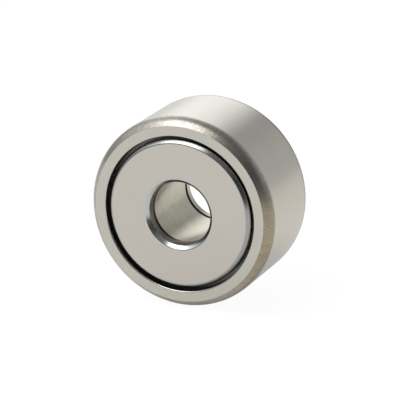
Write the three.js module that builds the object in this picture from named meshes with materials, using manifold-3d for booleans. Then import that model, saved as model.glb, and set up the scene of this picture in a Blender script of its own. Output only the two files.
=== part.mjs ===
// Yoke-type cam follower (track roller with side plates, needle roller bearing inside).
//
// Units are millimetres and +Z is up. The origin is the centre of the bore, halfway
// along the roller. The roller turns about the Y axis, and its front faces -Y.
// The inner ring and the two side plates stand still on the yoke's pin. The outer
// ring runs round them on caged needle rollers.

import * as THREE from 'three';
import { mergeVertices } from 'three/addons/utils/BufferGeometryUtils.js';
import Module from 'manifold-3d';

// ---- Driving dimensions ----------------------------------------------------

const boreDiameter = 10;
const outerDiameter = 30;
const overallWidth = 16;
const outerRingWidth = 15.8;
const innerRingWidth = 12;
const innerRaceDiameter = 14;
const needleDiameter = 3;
const needleLength = 9.8;
const needleCount = 14;
const runningClearance = 0.03;

// Outer ring. Each corner of the tread is a flat chamfer, cornerAngle degrees from the
// axis, that an arc blends into the tread.
const cornerFlat = 0.8;
const cornerAngle = 45;
const cornerRadius = 1.9;
const recessDiameter = 24.5;
const recessMouthRadius = 0.25;
const plateBackClearance = 0.2;
const raceEdgeChamfer = 0.3;

// Inner ring
const innerBoreChamfer = 0.35;
const innerRaceChamfer = 0.3;

// Side plates
const sidePlateDiameter = 23.5;
const plateRimChamfer = 0.55;
const plateBoreChamfer = 0.6;
const plateBackEdgeRadius = 0.35;

// Cage
const cageWidth = 11.5;
const cageInnerDiameter = 16.2;
const cageOuterDiameter = 18.9;
const pocketClearance = 0.05;

// Needle ends
const needleEndChamfer = 0.25;

// Facets round the axis, a multiple of 4 so that the box is exact
const ringFacets = 80;
const cageFacets = 84;
const needleFacets = 20;

// Steps in the arcs of the outlines
const edgeArcSteps = 3;
const cornerArcSteps = 4;

// ---- Derived dimensions ----------------------------------------------------

const pitchRadius = (innerRaceDiameter + needleDiameter) / 2;
const outerRaceDiameter = innerRaceDiameter + 2 * needleDiameter;
const sidePlateThickness = (overallWidth - innerRingWidth) / 2;
const pocketWidth = needleDiameter + 2 * pocketClearance;
const pocketLength = needleLength + 2 * pocketClearance;

// ---- Materials -------------------------------------------------------------

function steel(name, color, roughness) {
  const material = new THREE.MeshStandardMaterial({ color, roughness, metalness: 1 });
  material.name = name;
  return material;
}

const groundSteel = steel('ground_steel', 0xc9c5bd, 0.35);
const lappedSteel = steel('lapped_plate_steel', 0xc6bfb8, 0.28);
const raceSteel = steel('race_steel', 0xb3ada0, 0.3);
const needleSteel = steel('needle_steel', 0xd4d4d2, 0.12);
const cageSteel = steel('cage_steel', 0x8f8b84, 0.5);

// ---- Geometry helpers ------------------------------------------------------

// Turns a closed outline of [radius, y] corners, listed anticlockwise, about Y.
function ringSolid(outline, facets) {
  const points = outline.map(([radius, y]) => new THREE.Vector2(radius, y));
  points.push(points[0].clone());
  return new THREE.LatheGeometry(points, facets);
}

// Points of an arc in the outline's plane. start and sweep are in degrees, and an
// angle of 0 points away from the axis.
function arc(centreRadius, centreY, arcRadius, start, sweep, steps) {
  const points = [];
  for (let step = 0; step <= steps; step += 1) {
    const angle = THREE.MathUtils.degToRad(start + sweep * (step / steps));
    points.push([
      centreRadius + arcRadius * Math.cos(angle),
      centreY + arcRadius * Math.sin(angle),
    ]);
  }
  return points;
}

// Outline that is the same on both sides of the mid-plane. half lists the corners of
// the +Y side, anticlockwise from the outside to the bore.
function mirroredOutline(half) {
  const lower = half.map(([radius, y]) => [radius, -y]).reverse();
  return [...lower, ...half];
}

const wasm = await Module();
wasm.setup();

function toSolid(geometry) {
  const bare = geometry.clone();
  bare.deleteAttribute('normal');
  bare.deleteAttribute('uv');
  const merged = mergeVertices(bare);
  return new wasm.Manifold(new wasm.Mesh({
    numProp: 3,
    vertProperties: new Float32Array(merged.attributes.position.array),
    triVerts: new Uint32Array(merged.index.array),
  }));
}

function toGeometry(solid) {
  const { vertProperties, triVerts } = solid.getMesh();
  const geometry = new THREE.BufferGeometry();
  geometry.setAttribute('position', new THREE.BufferAttribute(vertProperties, 3));
  geometry.setIndex(new THREE.BufferAttribute(triVerts, 1));
  geometry.computeVertexNormals();
  return geometry;
}

function namedMesh(name, geometry, material) {
  const mesh = new THREE.Mesh(geometry, material);
  mesh.name = name;
  return mesh;
}

// ---- Outer ring ------------------------------------------------------------

// Cylindrical tread with chamfers that blend into it, a counterbore for each side plate,
// and the needle raceway between the two counterbores.
function outerRing() {
  const treadRadius = outerDiameter / 2;
  const faceY = outerRingWidth / 2;
  const recessRadius = recessDiameter / 2;
  const mouth = recessMouthRadius;
  const floorY = innerRingWidth / 2 - plateBackClearance;
  const raceRadius = (outerRaceDiameter / 2 + runningClearance) / Math.cos(Math.PI / ringFacets);
  const slope = THREE.MathUtils.degToRad(cornerAngle);
  const blendY = faceY - cornerFlat * Math.cos(slope) - cornerRadius * Math.sin(slope);
  const blendEnd = treadRadius - cornerRadius * (1 - Math.cos(slope));
  const half = [
    ...arc(treadRadius - cornerRadius, blendY, cornerRadius, 0, cornerAngle, cornerArcSteps),
    [blendEnd - cornerFlat * Math.sin(slope), faceY],
    ...arc(recessRadius + mouth, faceY - mouth, mouth, 90, 90, edgeArcSteps),
    [recessRadius, floorY],
    [raceRadius + raceEdgeChamfer, floorY],
    [raceRadius, floorY - raceEdgeChamfer],
  ];
  return namedMesh('outer_ring', ringSolid(mirroredOutline(half), ringFacets), groundSteel);
}

// ---- Inner ring ------------------------------------------------------------

// Plain sleeve that the needles roll on, with a lead-in chamfer at each end of its bore.
function innerRing() {
  const boreRadius = boreDiameter / 2;
  const raceRadius = innerRaceDiameter / 2 - runningClearance;
  const faceY = innerRingWidth / 2;
  const half = [
    [raceRadius, faceY - innerRaceChamfer],
    [raceRadius - innerRaceChamfer, faceY],
    [boreRadius + innerBoreChamfer, faceY],
    [boreRadius, faceY - innerBoreChamfer],
  ];
  return namedMesh('inner_ring', ringSolid(mirroredOutline(half), ringFacets), raceSteel);
}

// ---- Side plates -----------------------------------------------------------

// Flat washer. Its outside face has a chamfer at the rim and at the bore, and both edges
// of its back are rounded. side is -1 for the front, +1 for the rear.
function sidePlate(name, side) {
  const innerRadius = boreDiameter / 2;
  const outerRadius = sidePlateDiameter / 2;
  const faceY = sidePlateThickness / 2;
  const back = plateBackEdgeRadius;
  const outline = [
    ...arc(outerRadius - back, back - faceY, back, -90, 90, edgeArcSteps),
    [outerRadius, faceY - plateRimChamfer],
    [outerRadius - plateRimChamfer, faceY],
    [innerRadius + plateBoreChamfer, faceY],
    [innerRadius, faceY - plateBoreChamfer],
    ...arc(innerRadius + back, back - faceY, back, 180, 90, edgeArcSteps),
  ];
  const plate = namedMesh(name, ringSolid(outline, ringFacets), lappedSteel);
  if (side < 0) {
    plate.rotation.x = Math.PI;
  }
  plate.position.y = side * (overallWidth - sidePlateThickness) / 2;
  return plate;
}

// ---- Needle cage -----------------------------------------------------------

// Sleeve with one window for each needle, which leaves two rims joined by bars.
function rollerCage() {
  const innerRadius = cageInnerDiameter / 2;
  const outerRadius = cageOuterDiameter / 2;
  const half = [
    [outerRadius, cageWidth / 2],
    [innerRadius, cageWidth / 2],
  ];
  let cage = toSolid(ringSolid(mirroredOutline(half), cageFacets));
  for (let index = 0; index < needleCount; index += 1) {
    const pocket = new THREE.BoxGeometry(pocketWidth, pocketLength, outerRadius);
    pocket.translate(0, 0, pitchRadius);
    pocket.rotateY(needleAngle(index));
    cage = cage.subtract(toSolid(pocket));
  }
  return namedMesh('roller_cage', toGeometry(cage), cageSteel);
}

// ---- Needle rollers --------------------------------------------------------

function needleAngle(index) {
  return (2 * Math.PI * index) / needleCount;
}

function needleGeometry() {
  const radius = needleDiameter / 2;
  const end = needleLength / 2;
  const outline = [
    [0, -end],
    [radius - needleEndChamfer, -end],
    [radius, -end + needleEndChamfer],
    [radius, end - needleEndChamfer],
    [radius - needleEndChamfer, end],
    [0, end],
  ];
  const points = outline.map(([x, y]) => new THREE.Vector2(x, y));
  return new THREE.LatheGeometry(points, needleFacets);
}

function needleRollers() {
  const set = new THREE.Group();
  for (let index = 0; index < needleCount; index += 1) {
    const number = String(index + 1).padStart(2, '0');
    const needle = namedMesh(`needle_roller_${number}`, needleGeometry(), needleSteel);
    needle.position.z = pitchRadius;
    const arm = new THREE.Group();
    arm.rotation.y = needleAngle(index);
    arm.add(needle);
    set.add(arm);
  }
  return set;
}

// ---- Assembly --------------------------------------------------------------

const camFollower = new THREE.Group();
camFollower.add(outerRing());
camFollower.add(innerRing());
camFollower.add(sidePlate('front_side_plate', -1));
camFollower.add(sidePlate('rear_side_plate', 1));
camFollower.add(rollerCage());
camFollower.add(needleRollers());

export default camFollower;
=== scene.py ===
"""Looks of a yoke-type cam follower: fine steel pieces on the CAD bodies, a studio and a camera.

Lengths are in metres. The follower turns about the Y axis and its front faces -Y.
"""

import math

import bpy
from mathutils import Matrix, Vector


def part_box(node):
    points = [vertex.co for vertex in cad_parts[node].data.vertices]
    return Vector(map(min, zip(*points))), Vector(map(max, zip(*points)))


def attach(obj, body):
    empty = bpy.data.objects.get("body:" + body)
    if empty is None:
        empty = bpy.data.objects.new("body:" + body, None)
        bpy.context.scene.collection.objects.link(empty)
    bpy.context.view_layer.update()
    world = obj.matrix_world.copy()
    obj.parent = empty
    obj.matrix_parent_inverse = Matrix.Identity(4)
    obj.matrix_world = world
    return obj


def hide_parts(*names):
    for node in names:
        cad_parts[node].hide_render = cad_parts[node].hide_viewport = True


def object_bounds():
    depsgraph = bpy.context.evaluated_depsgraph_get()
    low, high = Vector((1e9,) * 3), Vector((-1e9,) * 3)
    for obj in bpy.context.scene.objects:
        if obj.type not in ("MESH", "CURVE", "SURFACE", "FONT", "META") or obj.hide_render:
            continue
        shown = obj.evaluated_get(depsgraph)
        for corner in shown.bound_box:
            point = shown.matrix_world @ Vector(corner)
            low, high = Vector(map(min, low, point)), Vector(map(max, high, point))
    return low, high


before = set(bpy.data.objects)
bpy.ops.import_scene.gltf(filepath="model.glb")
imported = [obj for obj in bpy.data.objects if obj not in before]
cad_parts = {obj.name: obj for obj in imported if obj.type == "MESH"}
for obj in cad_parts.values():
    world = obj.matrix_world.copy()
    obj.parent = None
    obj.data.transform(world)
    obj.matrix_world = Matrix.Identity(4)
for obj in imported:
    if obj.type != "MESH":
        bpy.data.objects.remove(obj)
cad_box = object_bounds()

# ---- Driving dimensions ----------------------------------------------------

MM = 0.001

RING_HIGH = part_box("outer_ring")[1]
INNER_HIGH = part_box("inner_ring")[1]
PLATE_LOW, PLATE_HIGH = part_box("rear_side_plate")
NEEDLE_LOW, NEEDLE_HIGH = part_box("needle_roller_01")

TREAD_RADIUS = RING_HIGH.x
RING_FACE = RING_HIGH.y
PLATE_RADIUS = PLATE_HIGH.x
PLATE_INSIDE = PLATE_LOW.y
PLATE_OUTSIDE = PLATE_HIGH.y
INNER_RACE_RADIUS = INNER_HIGH.x
NEEDLE_RADIUS = (NEEDLE_HIGH.x - NEEDLE_LOW.x) / 2
NEEDLE_END = NEEDLE_HIGH.y
PITCH_RADIUS = (NEEDLE_HIGH.z + NEEDLE_LOW.z) / 2
NEEDLE_COUNT = 14
BORE_RADIUS = 5 * MM
RACE_RADIUS = 10.05 * MM

# Outer ring. RECESS_FLOOR is how far from the mid-plane the floor of each counterbore lies.
CORNER_RADIUS = 1.9 * MM
CORNER_ANGLE = 45
CORNER_FLAT = 0.8 * MM
RECESS_RADIUS = 12.25 * MM
RECESS_MOUTH = 0.25 * MM
RECESS_FLOOR = 5.8 * MM
RACE_EDGE = 0.3 * MM

# Side plates, inner ring and needles. A blend is the radius that rounds a chamfer's corners.
PLATE_RIM_CHAMFER = 0.55 * MM
PLATE_RIM_BLEND = 0.3 * MM
PLATE_BORE_CHAMFER = 0.6 * MM
PLATE_BORE_BLEND = 0.35 * MM
PLATE_BACK_EDGE = 0.35 * MM
INNER_BORE_CHAMFER = 0.35 * MM
INNER_RACE_CHAMFER = 0.3 * MM
NEEDLE_END_RADIUS = 0.25 * MM

RING_SEGMENTS = 288
NEEDLE_SEGMENTS = 48
ARC_STEP_DEGREES = 7.5

# A flat stretch has a point this far from each end, or this share of its length if that is less
FLAT_MARGIN = 0.02 * MM
FLAT_MARGIN_SHARE = 0.2

# Outline points closer together than this are one point, and closer to the axis are on it
SAME_POINT = 1e-8

# ---- Turned pieces ---------------------------------------------------------


def arc(centre_radius, centre_y, arc_radius, start, sweep):
    """Points of an arc in the (radius, y) plane. Angles are in degrees from straight outward."""
    steps = max(2, round(abs(sweep) / ARC_STEP_DEGREES))
    points = []
    for step in range(steps + 1):
        angle = math.radians(start + sweep * step / steps)
        radius = centre_radius + arc_radius * math.cos(angle)
        y = centre_y + arc_radius * math.sin(angle)
        points.append((radius, y))
    return points


def chamfer(radius, outward, face, size, blend):
    """A 45 degree chamfer from a cylinder to the face at y = face, with both corners rounded.

    outward is 1 at a rim and -1 at a bore. reach is how far an arc starts before its corner.
    """
    reach = blend * (math.sqrt(2) - 1)
    low = arc(-blend, face - size - reach, blend, 0, 45)
    high = arc(-size - reach, face - blend, blend, 45, 45)
    return [(radius + outward * r, y) for r, y in low + high]


def flat(start, end):
    """A straight stretch, with a point close to each end so that it shades flat."""
    start = Vector(start)
    end = Vector(end)
    margin = min(FLAT_MARGIN / (end - start).length, FLAT_MARGIN_SHARE)
    stretches = (0, margin, 1 - margin, 1)
    return [tuple(start.lerp(end, t)) for t in stretches]


def from_middle(radius, end):
    """The +Y end of a straight stretch that crosses the mid-plane, which needs no point there."""
    return flat((radius, 0), (radius, end))[2:]


def to_middle(radius, start):
    """The same end, listed the other way."""
    return from_middle(radius, start)[::-1]


def flipped(runs):
    """The same runs on the other side of the mid-plane, still listed anticlockwise."""
    return [(finish, [(r, -y) for r, y in reversed(run)]) for finish, run in reversed(runs)]


def mirrored(half):
    """Runs for both halves of a ring, from the runs of its +Y half."""
    return flipped(half) + half


def lathe(name, runs, finishes, segments, closed=True):
    """A solid turned about Y from runs of (finish name, points), listed anticlockwise.

    An outline that isn't closed starts and ends on the axis.
    """
    outline = []
    finish_of = []
    for finish, run in runs:
        for point in run:
            if not outline or math.dist(outline[-1], point) > SAME_POINT:
                outline.append(point)
                finish_of.append(finish)
    if closed and math.dist(outline[0], outline[-1]) < SAME_POINT:
        outline.pop()
        finish_of.pop()
    count = len(outline)
    vertices = []
    rings = []
    for radius, y in outline:
        if radius < SAME_POINT:
            rings.append([len(vertices)] * segments)
            vertices.append((0.0, y, 0.0))
            continue
        rings.append(list(range(len(vertices), len(vertices) + segments)))
        for k in range(segments):
            turn = 2 * math.pi * k / segments
            vertices.append((radius * math.sin(turn), y, radius * math.cos(turn)))
    names = list(dict.fromkeys(finish_of))
    faces = []
    slots = []
    for i in range(count if closed else count - 1):
        here = rings[i]
        there = rings[(i + 1) % count]
        finish = finish_of[(i + 1) % count]
        for k in range(segments):
            after = (k + 1) % segments
            corners = [here[k], there[k], there[after], here[after]]
            faces.append(list(dict.fromkeys(corners)))
            slots.append(names.index(finish))
    mesh = bpy.data.meshes.new(name)
    mesh.from_pydata(vertices, [], faces)
    for finish in names:
        mesh.materials.append(finishes[finish])
    mesh.polygons.foreach_set("material_index", slots)
    mesh.polygons.foreach_set("use_smooth", [True] * len(faces))
    mesh.validate()
    mesh.update()
    piece = bpy.data.objects.new(name, mesh)
    bpy.context.scene.collection.objects.link(piece)
    return piece


# ---- Material helpers ------------------------------------------------------


class Tree:
    """Short calls for building the node tree of a material or a world."""

    def __init__(self, owner):
        owner.use_nodes = True
        self.tree = owner.node_tree
        self.tree.nodes.clear()

    def add(self, kind, **settings):
        node = self.tree.nodes.new(kind)
        for key, value in settings.items():
            setattr(node, key, value)
        return node

    def link(self, source, target):
        self.tree.links.new(source, target)

    def math(self, operation, *values):
        """Result of a math node. Each value is a number or another node's output."""
        node = self.add("ShaderNodeMath", operation=operation)
        for socket, value in zip(node.inputs, values):
            if isinstance(value, (int, float)):
                socket.default_value = value
            else:
                self.link(value, socket)
        return node.outputs[0]


class Finish(Tree):
    """A material with one shader, and short calls for what steel finishes share."""

    def __init__(self, name):
        self.material = bpy.data.materials.new(name)
        super().__init__(self.material)
        self.output = self.add("ShaderNodeOutputMaterial")
        self.shader = self.add("ShaderNodeBsdfPrincipled")
        self.link(self.shader.outputs["BSDF"], self.output.inputs["Surface"])

    def position(self):
        return self.add("ShaderNodeTexCoord").outputs["Object"]

    def cylindrical(self):
        """(x / radius, z / radius, radius, y) of the point in the piece's own frame."""
        split = self.add("ShaderNodeSeparateXYZ")
        self.link(self.position(), split.inputs[0])
        x, y, z = split.outputs
        squares = self.math("ADD", self.math("MULTIPLY", x, x), self.math("MULTIPLY", z, z))
        radius = self.math("SQRT", squares)
        return self.math("DIVIDE", x, radius), self.math("DIVIDE", z, radius), radius, y

    def vector(self, x, y, z):
        node = self.add("ShaderNodeCombineXYZ")
        for socket, value in zip(node.inputs, (x, y, z)):
            self.link(value, socket)
        return node.outputs[0]

    def noise(self, coordinates, scale, detail, roughness=0.6):
        """Cloudy noise, with about scale clouds to each unit of the coordinates."""
        node = self.add("ShaderNodeTexNoise")
        node.inputs["Scale"].default_value = scale
        node.inputs["Detail"].default_value = detail
        node.inputs["Roughness"].default_value = roughness
        self.link(coordinates, node.inputs["Vector"])
        return node.outputs["Fac"]

    def remap(self, value, low, high, to_low, to_high):
        """Value from to_low to to_high as the given one goes from low to high."""
        node = self.add("ShaderNodeMapRange")
        node.inputs["From Min"].default_value = low
        node.inputs["From Max"].default_value = high
        node.inputs["To Min"].default_value = to_low
        node.inputs["To Max"].default_value = to_high
        self.link(value, node.inputs["Value"])
        return node.outputs["Result"]

    def spread(self, noise, to_low, to_high):
        """The same, over the range that a noise mostly keeps to."""
        return self.remap(noise, NOISE_LOW, NOISE_HIGH, to_low, to_high)

    def streaks(self, side, up, along, around, across):
        """Fine lines round the axis, long where around is small and close where across is large."""
        place = self.vector(
            self.math("MULTIPLY", side, around),
            self.math("MULTIPLY", along, across),
            self.math("MULTIPLY", up, around),
        )
        return self.noise(place, 1.0, detail=3, roughness=0.5)

    def blend(self, first, second, share):
        """Share of the first value plus the rest of the second."""
        return self.math(
            "ADD",
            self.math("MULTIPLY", first, share),
            self.math("MULTIPLY", second, 1 - share),
        )

    def tint(self, value, dark, light):
        """Colour between dark and light as value goes from 0 to 1."""
        node = self.add("ShaderNodeMix", data_type="RGBA")
        node.inputs["A"].default_value = (*dark, 1)
        node.inputs["B"].default_value = (*light, 1)
        self.link(value, node.inputs["Factor"])
        self.link(node.outputs["Result"], self.shader.inputs["Base Color"])

    def stain_and_shade(self, share, color):
        """Multiplies the colour made so far by a film of the given colour, where share is 1."""
        node = self.add("ShaderNodeMix", data_type="RGBA", blend_type="MULTIPLY")
        base = self.shader.inputs["Base Color"]
        self.link(base.links[0].from_socket, node.inputs["A"])
        node.inputs["B"].default_value = (*color, 1)
        self.link(share, node.inputs["Factor"])
        self.link(node.outputs["Result"], base)

    def bump(self, height, distance):
        """Relief of the given depth in metres."""
        node = self.add("ShaderNodeBump")
        node.inputs["Distance"].default_value = distance
        self.link(height, node.inputs["Height"])
        self.link(node.outputs["Normal"], self.shader.inputs["Normal"])

    def steel(self, roughness, anisotropy=0.0):
        """The finished material. Any anisotropy has its tangent round the axis."""
        self.shader.inputs["Metallic"].default_value = 1.0
        if anisotropy:
            self.shader.inputs["Anisotropic"].default_value = anisotropy
            tangent = self.add("ShaderNodeTangent", direction_type="RADIAL", axis="Y")
            self.link(tangent.outputs["Tangent"], self.shader.inputs["Tangent"])
        self.link(roughness, self.shader.inputs["Roughness"])
        return self.material


# ---- Steel finishes --------------------------------------------------------

# Lowest roughness of the ground finishes. A roughness that varies across a value between 0.27
# and this one shows as specks in a denoised render, so each finish stays on one side of it.
SATIN_ROUGHNESS = 0.277

# Range that a noise mostly keeps to
NOISE_LOW = 0.3
NOISE_HIGH = 0.7

# Brown stained film on the ring's corners, which is also painted shade: it makes the +X side darker
# and browner. Its middle is in degrees from +Z towards +X. It comes in as the cosine of the angle
# from there, plus a ragged part, goes from the start to the full value.
STAIN_AND_SHADE_AT = 102
STAIN_AND_SHADE_START = 0.82
STAIN_AND_SHADE_FULL = 1.02
STAIN_AND_SHADE_RAGGED = 0.08
STAIN_AND_SHADE_COLOR = (0.88, 0.80, 0.66)


def ground_tread():
    """Cylindrical grinding: hairlines round the axis."""
    n = Finish("ground_tread")
    side, up, _, y = n.cylindrical()
    hair = n.streaks(side, up, y, around=1.6, across=1900)
    cloud = n.noise(n.position(), 180, detail=3)
    n.tint(n.blend(hair, cloud, 0.4), (0.475, 0.445, 0.385), (0.555, 0.525, 0.46))
    n.bump(hair, 0.2e-6)
    return n.steel(n.spread(cloud, SATIN_ROUGHNESS, 0.32), anisotropy=0.35)


def ground_face():
    """Flat face of a ring, ground, with hairlines round the axis."""
    n = Finish("ground_face")
    side, up, radius, _ = n.cylindrical()
    hair = n.streaks(side, up, radius, around=2.5, across=5200)
    cloud = n.noise(n.position(), 260, detail=3)
    n.tint(n.blend(hair, cloud, 0.5), (0.48, 0.465, 0.41), (0.565, 0.55, 0.49))
    n.bump(hair, 0.25e-6)
    return n.steel(n.spread(cloud, SATIN_ROUGHNESS, 0.305))


def tumbled_corner():
    """Turned and tumbled corner of the tread, rougher than the ground steel, stained brown and
    painted with shade on its +X side.
    """
    n = Finish("tumbled_corner")
    side, up, radius, y = n.cylindrical()
    streak = n.streaks(side, up, n.math("SUBTRACT", radius, y), around=90, across=900)
    speck = n.noise(n.position(), 3600, detail=4, roughness=0.65)
    mixed = n.remap(n.blend(streak, speck, 0.3), 0.38, 0.62, 0, 1)
    n.tint(mixed, (0.295, 0.273, 0.235), (0.455, 0.43, 0.383))
    # Brown stained film centred on the +X side, which is also painted shade that darkens the corner
    # there
    turn = math.radians(STAIN_AND_SHADE_AT)
    across = n.math("MULTIPLY", side, math.sin(turn))
    towards = n.math("ADD", across, n.math("MULTIPLY", up, math.cos(turn)))
    ragged = n.math("ADD", towards, n.math("MULTIPLY", mixed, STAIN_AND_SHADE_RAGGED))
    n.stain_and_shade(n.remap(ragged, STAIN_AND_SHADE_START, STAIN_AND_SHADE_FULL, 0, 1), STAIN_AND_SHADE_COLOR)
    n.bump(mixed, 0.7e-6)
    return n.steel(n.remap(mixed, 0, 1, 0.38, 0.30))


def recess_steel(name, dark, light):
    """Dark steel of the counterbores and raceway; the same, darker, is painted shade in the joint
    grooves and on the front plate's bore wall.
    """
    n = Finish(name)
    cloud = n.noise(n.position(), 900, detail=4)
    n.tint(cloud, dark, light)
    n.bump(cloud, 2e-6)
    return n.steel(n.spread(cloud, 0.32, 0.45))


def lapped_plate():
    """Lapped flat face: an even satin with a very faint grain."""
    n = Finish("lapped_plate")
    lap = n.noise(n.position(), 2600, detail=5, roughness=0.7)
    cloud = n.noise(n.position(), 150, detail=3)
    n.tint(n.blend(lap, cloud, 0.5), (0.49, 0.46, 0.415), (0.57, 0.535, 0.485))
    n.bump(lap, 0.4e-6)
    return n.steel(n.spread(cloud, 0.22, 0.27))


def polished_edge(name, dark, light):
    """Polished edge, a little smoother than the plate: its rim and lip, and the recess's mouth. The
    rim's copy is darker, as painted shade.
    """
    n = Finish(name)
    cloud = n.noise(n.position(), 1500, detail=3)
    n.tint(cloud, dark, light)
    n.bump(cloud, 0.4e-6)
    return n.steel(n.spread(cloud, 0.21, 0.26))


def bore_steel():
    """Ground bore and races of the inner ring, with a film of oil."""
    n = Finish("bore_steel")
    side, up, _, y = n.cylindrical()
    hair = n.streaks(side, up, y, around=1.5, across=4000)
    cloud = n.noise(n.position(), 420, detail=4)
    mixed = n.remap(n.blend(hair, cloud, 0.4), 0.35, 0.65, 0, 1)
    n.tint(mixed, (0.41, 0.385, 0.305), (0.55, 0.515, 0.415))
    n.bump(hair, 0.3e-6)
    return n.steel(n.spread(cloud, 0.28, 0.36), anisotropy=0.3)


def needle_steel():
    """Superfinished needle rollers."""
    n = Finish("needle_steel")
    side, up, _, y = n.cylindrical()
    hair = n.noise(n.vector(side, n.math("MULTIPLY", y, 5000), up), 1.0, detail=5)
    n.tint(hair, (0.60, 0.60, 0.59), (0.68, 0.68, 0.67))
    n.bump(hair, 0.2e-6)
    return n.steel(n.spread(hair, 0.09, 0.14))


def cage_steel():
    """Machined cage, dark grey and matt."""
    n = Finish("cage_steel")
    grain = n.noise(n.position(), 2200, detail=4)
    n.tint(grain, (0.26, 0.255, 0.24), (0.38, 0.375, 0.355))
    n.bump(grain, 3e-6)
    return n.steel(n.spread(grain, 0.42, 0.55))


FINISHES = {
    "tread": ground_tread(),
    "face": ground_face(),
    "corner": tumbled_corner(),
    "recess": recess_steel("recess_steel", (0.14, 0.136, 0.13), (0.21, 0.204, 0.195)),
    # Painted shade: the joint grooves are painted near black where the gap between the parts is in
    # shadow
    "joint": recess_steel("painted_shade_joint_steel", (0.045, 0.042, 0.036), (0.09, 0.084, 0.074)),
    # Painted shade on the front plate's bore wall; the rear plate's wall is bore steel
    "shade": recess_steel("painted_shade_wall_steel", (0.11, 0.11, 0.105), (0.20, 0.198, 0.19)),
    "plate": lapped_plate(),
    # Painted shade: the rim is the same polished edge as the lip, painted darker
    "rim": polished_edge("shaded_polished_rim", (0.305, 0.31, 0.295), (0.385, 0.39, 0.37)),
    "mouth": polished_edge("polished_mouth", (0.46, 0.45, 0.41), (0.54, 0.53, 0.48)),
    "lip": polished_edge("polished_lip", (0.46, 0.465, 0.45), (0.55, 0.555, 0.54)),
    "bore": bore_steel(),
    "needle": needle_steel(),
    "cage": cage_steel(),
}

# ---- Pieces ----------------------------------------------------------------


def outer_ring():
    """Tread with a flat chamfer that blends into it, a counterbore at each side and the raceway."""
    slope = math.radians(CORNER_ANGLE)
    centre_y = RING_FACE - CORNER_FLAT * math.cos(slope) - CORNER_RADIUS * math.sin(slope)
    blend = arc(TREAD_RADIUS - CORNER_RADIUS, centre_y, CORNER_RADIUS, 0, CORNER_ANGLE)
    crease = (blend[-1][0] - CORNER_FLAT * math.sin(slope), RING_FACE)
    mouth = arc(RECESS_RADIUS + RECESS_MOUTH, RING_FACE - RECESS_MOUTH, RECESS_MOUTH, 90, 90)
    corner = (RECESS_RADIUS, RECESS_FLOOR)
    race_edge = (RACE_RADIUS + RACE_EDGE, RECESS_FLOOR)
    race_end = (RACE_RADIUS, RECESS_FLOOR - RACE_EDGE)
    half = [
        ("tread", from_middle(TREAD_RADIUS, blend[0][1])),
        ("corner", blend),
        ("corner", flat(blend[-1], crease)),
        ("face", flat(crease, mouth[0])),
        ("mouth", mouth),
        ("recess", flat(mouth[-1], corner)),
        ("recess", flat(corner, race_edge)),
        ("recess", flat(race_edge, race_end)),
        ("recess", to_middle(RACE_RADIUS, race_end[1])),
    ]
    ring = lathe("outer_ring_steel", mirrored(half), FINISHES, RING_SEGMENTS)
    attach(ring, "outer_ring")
    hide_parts("outer_ring")


def inner_ring():
    """Plain sleeve with a lead-in chamfer at each end of its bore."""
    end = INNER_HIGH.y
    race_end = (INNER_RACE_RADIUS, end - INNER_RACE_CHAMFER)
    race_edge = (INNER_RACE_RADIUS - INNER_RACE_CHAMFER, end)
    bore_edge = (BORE_RADIUS + INNER_BORE_CHAMFER, end)
    bore_end = (BORE_RADIUS, end - INNER_BORE_CHAMFER)
    half = [
        ("bore", from_middle(INNER_RACE_RADIUS, race_end[1])),
        ("bore", flat(race_end, race_edge)),
        ("face", flat(race_edge, bore_edge)),
        # Painted shade in the joint groove of the bore
        ("joint", flat(bore_edge, bore_end)),
        ("bore", to_middle(BORE_RADIUS, bore_end[1])),
    ]
    ring = lathe("inner_ring_steel", mirrored(half), FINISHES, RING_SEGMENTS)
    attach(ring, "inner_race")
    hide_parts("inner_ring")


def side_plate(node, side):
    """Washer with a chamfer at the rim and at the bore of its outside, and a rounded back.

    side is -1 for the front plate, whose bore wall is painted darker as shade, and 1 for the rear
    one.
    """
    # The front plate's bore wall is painted shade; the rear one has the bore steel
    wall = "shade" if side < 0 else "bore"
    back = PLATE_BACK_EDGE
    rim = chamfer(PLATE_RADIUS, 1, PLATE_OUTSIDE, PLATE_RIM_CHAMFER, PLATE_RIM_BLEND)
    lip = chamfer(BORE_RADIUS, -1, PLATE_OUTSIDE, PLATE_BORE_CHAMFER, PLATE_BORE_BLEND)
    lip.reverse()
    bore_back = arc(BORE_RADIUS + back, PLATE_INSIDE + back, back, 180, 90)
    rim_back = arc(PLATE_RADIUS - back, PLATE_INSIDE + back, back, -90, 90)
    runs = [
        ("rim", rim_back),
        ("rim", flat(rim_back[-1], rim[0])),
        ("rim", rim),
        ("plate", flat(rim[-1], lip[0])),
        ("lip", lip),
        (wall, flat(lip[-1], bore_back[0])),
        # Painted shade in the joint groove at the back of the bore
        ("joint", bore_back),
        ("plate", flat(bore_back[-1], rim_back[0])),
    ]
    if side < 0:
        runs = flipped(runs)
    plate = lathe(node + "_steel", runs, FINISHES, RING_SEGMENTS)
    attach(plate, "inner_race")
    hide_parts(node)


def needle(number):
    """One needle roller with rounded ends, at its own pocket of the cage."""
    turn = 2 * math.pi * (number - 1) / NEEDLE_COUNT
    edge = NEEDLE_END_RADIUS
    half = [
        ("needle", from_middle(NEEDLE_RADIUS, NEEDLE_END - edge)),
        ("needle", arc(NEEDLE_RADIUS - edge, NEEDLE_END - edge, edge, 0, 90)),
        ("needle", flat((NEEDLE_RADIUS - edge, NEEDLE_END), (0, NEEDLE_END))),
    ]
    runs = mirrored(half)
    roller = lathe(f"needle_{number:02d}_steel", runs, FINISHES, NEEDLE_SEGMENTS, closed=False)
    roller.location = (PITCH_RADIUS * math.sin(turn), 0, PITCH_RADIUS * math.cos(turn))
    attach(roller, f"needle_{number:02d}")
    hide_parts(f"needle_roller_{number:02d}")


def cage():
    """The CAD cage as it is, with its own finish."""
    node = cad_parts["roller_cage"]
    node.data.materials.clear()
    node.data.materials.append(FINISHES["cage"])


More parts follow.
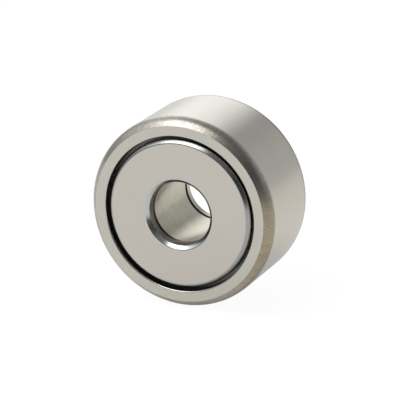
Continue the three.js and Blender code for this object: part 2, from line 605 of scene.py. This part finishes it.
outer_ring()
inner_ring()
side_plate("front_side_plate", -1)
side_plate("rear_side_plate", 1)
for needle_number in range(1, NEEDLE_COUNT + 1):
    needle(needle_number)
cage()

# ---- Studio ----------------------------------------------------------------

# Table. It glows, and what the camera sees of it is a share of FLOOR_WHITENING of white light.
FLOOR_RADIUS = 4.0
FLOOR_SIDES = 96
FLOOR_COLOR = (0.81, 0.80, 0.78)
FLOOR_ROUGHNESS = 0.9
FLOOR_GLOW = 0.30
FLOOR_WHITE = 1.03
FLOOR_WHITENING = 0.88

# Key light, a soft box above the front left
KEY_AZIMUTH = 322
KEY_ELEVATION = 60
KEY_DISTANCE = 2.4
KEY_WIDTH = 1.7
KEY_HEIGHT = 1.4
KEY_RADIANCE = 3.6

# Surroundings. Each soft patch has the azimuth and elevation of its middle, the angles from
# there where it starts to fade and where it ends, and its radiance. The first lies below the
# horizon.
ROOM_BASE = 0.075
ROOM_COLOR = (0.785, 0.80, 0.83)
ROOM_WHITE = 1.3
ROOM_PATCHES = (
    (0, -90, 60, 88, 0.93),
    (203, 22, 10, 26, 1.25),
    (205, 41, 15, 32, 0.75),
    (212, 0, 8, 30, 0.42),
    (238, 18, 10, 35, 0.45),
    (288, 46, 6, 22, 0.7),
    (279, 42, 18, 44, 0.95),
    (345, -2, 10, 22, 1.3),
    (31, 55, 5, 34, 0.2),
    (180, 78, 8, 28, 0.35),
    (113, 45, 10, 35, 0.15),
    (125, 0, 5, 65, 0.36),
    (152, 22, 10, 34, 0.45),
)

# Camera. In its view the middle of the ring's front face lies CAMERA_ASIDE to the right of the
# centre and CAMERA_ABOVE over it. Both are negative, so it lies to the left and below.
CAMERA_AZIMUTH = 23.92
CAMERA_ELEVATION = 18.49
CAMERA_DISTANCE = 377.66 * MM
CAMERA_ASIDE = -3.2545 * MM
CAMERA_ABOVE = -2.2205 * MM
CAMERA_LENS = 225
CAMERA_SENSOR = 36
CAMERA_NEAR = 0.01
CAMERA_FAR = 100


def direction(azimuth, elevation):
    """Unit vector from the object. Azimuth 0 is in front of it and 90 is at its +X side."""
    a = math.radians(azimuth)
    e = math.radians(elevation)
    return Vector((math.sin(a) * math.cos(e), -math.cos(a) * math.cos(e), math.sin(e)))


def floor():
    """Pale glowing table. The camera sees most of it burnt out to white, as on a light table."""
    bpy.ops.mesh.primitive_circle_add(
        vertices=FLOOR_SIDES,
        radius=FLOOR_RADIUS,
        fill_type="NGON",
    )
    table = bpy.context.object
    table.name = "table"
    table.location.z = cad_box[0].z
    n = Finish("table")
    n.shader.inputs["Base Color"].default_value = (*FLOOR_COLOR, 1)
    n.shader.inputs["Roughness"].default_value = FLOOR_ROUGHNESS
    n.shader.inputs["Specular IOR Level"].default_value = 0.0
    n.shader.inputs["Emission Color"].default_value = (1, 1, 1, 1)
    n.shader.inputs["Emission Strength"].default_value = FLOOR_GLOW
    white = n.add("ShaderNodeEmission")
    white.inputs["Strength"].default_value = FLOOR_WHITE
    seen = n.add("ShaderNodeLightPath").outputs["Is Camera Ray"]
    mix = n.add("ShaderNodeMixShader")
    n.link(n.math("MULTIPLY", seen, FLOOR_WHITENING), mix.inputs[0])
    n.link(n.shader.outputs["BSDF"], mix.inputs[1])
    n.link(white.outputs[0], mix.inputs[2])
    n.link(mix.outputs[0], n.output.inputs["Surface"])
    table.data.materials.append(n.material)


def softbox(name, azimuth, elevation, distance, width, height, radiance):
    """Rectangular light that faces the object and gives off the stated radiance."""
    data = bpy.data.lights.new(name, "AREA")
    data.shape = "RECTANGLE"
    data.size = width
    data.size_y = height
    data.energy = radiance * math.pi * width * height
    light = bpy.data.objects.new(name, data)
    towards = direction(azimuth, elevation)
    light.location = towards * distance
    light.rotation_euler = towards.to_track_quat("Z", "Y").to_euler()
    light.visible_camera = False
    bpy.context.scene.collection.objects.link(light)


def room():
    """Dim surroundings with soft patches of light. The camera sees them as plain white."""
    world = bpy.data.worlds.new("room")
    bpy.context.scene.world = world
    n = Tree(world)
    rays = n.add("ShaderNodeTexCoord").outputs["Generated"]
    light = ROOM_BASE
    for azimuth, elevation, inner, outer, radiance in ROOM_PATCHES:
        dot = n.add("ShaderNodeVectorMath", operation="DOT_PRODUCT")
        dot.inputs[1].default_value = direction(azimuth, elevation)
        n.link(rays, dot.inputs[0])
        patch = n.add("ShaderNodeMapRange", interpolation_type="SMOOTHSTEP")
        patch.inputs["From Min"].default_value = math.cos(math.radians(outer))
        patch.inputs["From Max"].default_value = math.cos(math.radians(inner))
        patch.inputs["To Min"].default_value = 0
        patch.inputs["To Max"].default_value = radiance
        n.link(dot.outputs["Value"], patch.inputs["Value"])
        light = n.math("ADD", light, patch.outputs["Result"])
    seen = n.add("ShaderNodeLightPath")
    pick = n.add("ShaderNodeMix", data_type="FLOAT")
    pick.inputs["B"].default_value = ROOM_WHITE
    n.link(seen.outputs["Is Camera Ray"], pick.inputs["Factor"])
    n.link(light, pick.inputs["A"])
    background = n.add("ShaderNodeBackground")
    background.inputs["Color"].default_value = (*ROOM_COLOR, 1)
    n.link(pick.outputs["Result"], background.inputs["Strength"])
    output = n.add("ShaderNodeOutputWorld")
    n.link(background.outputs[0], output.inputs[0])


def camera():
    """Long lens at the angle of the reference view."""
    data = bpy.data.cameras.new("camera")
    data.lens = CAMERA_LENS
    data.sensor_width = CAMERA_SENSOR
    data.clip_start = CAMERA_NEAR
    data.clip_end = CAMERA_FAR
    eye = bpy.data.objects.new("camera", data)
    back = direction(CAMERA_AZIMUTH, CAMERA_ELEVATION)
    turn = math.radians(CAMERA_AZIMUTH)
    right = Vector((math.cos(turn), math.sin(turn), 0))
    up = back.cross(right)
    target = Vector((0, -RING_FACE, 0))
    eye.location = target - right * CAMERA_ASIDE - up * CAMERA_ABOVE + back * CAMERA_DISTANCE
    rotation = Matrix((right, up, back)).transposed()
    eye.rotation_euler = rotation.to_euler()
    bpy.context.scene.collection.objects.link(eye)
    bpy.context.scene.camera = eye


floor()
softbox("key", KEY_AZIMUTH, KEY_ELEVATION, KEY_DISTANCE, KEY_WIDTH, KEY_HEIGHT, KEY_RADIANCE)
room()
camera()
bpy.context.scene.view_settings.view_transform = "Standard"
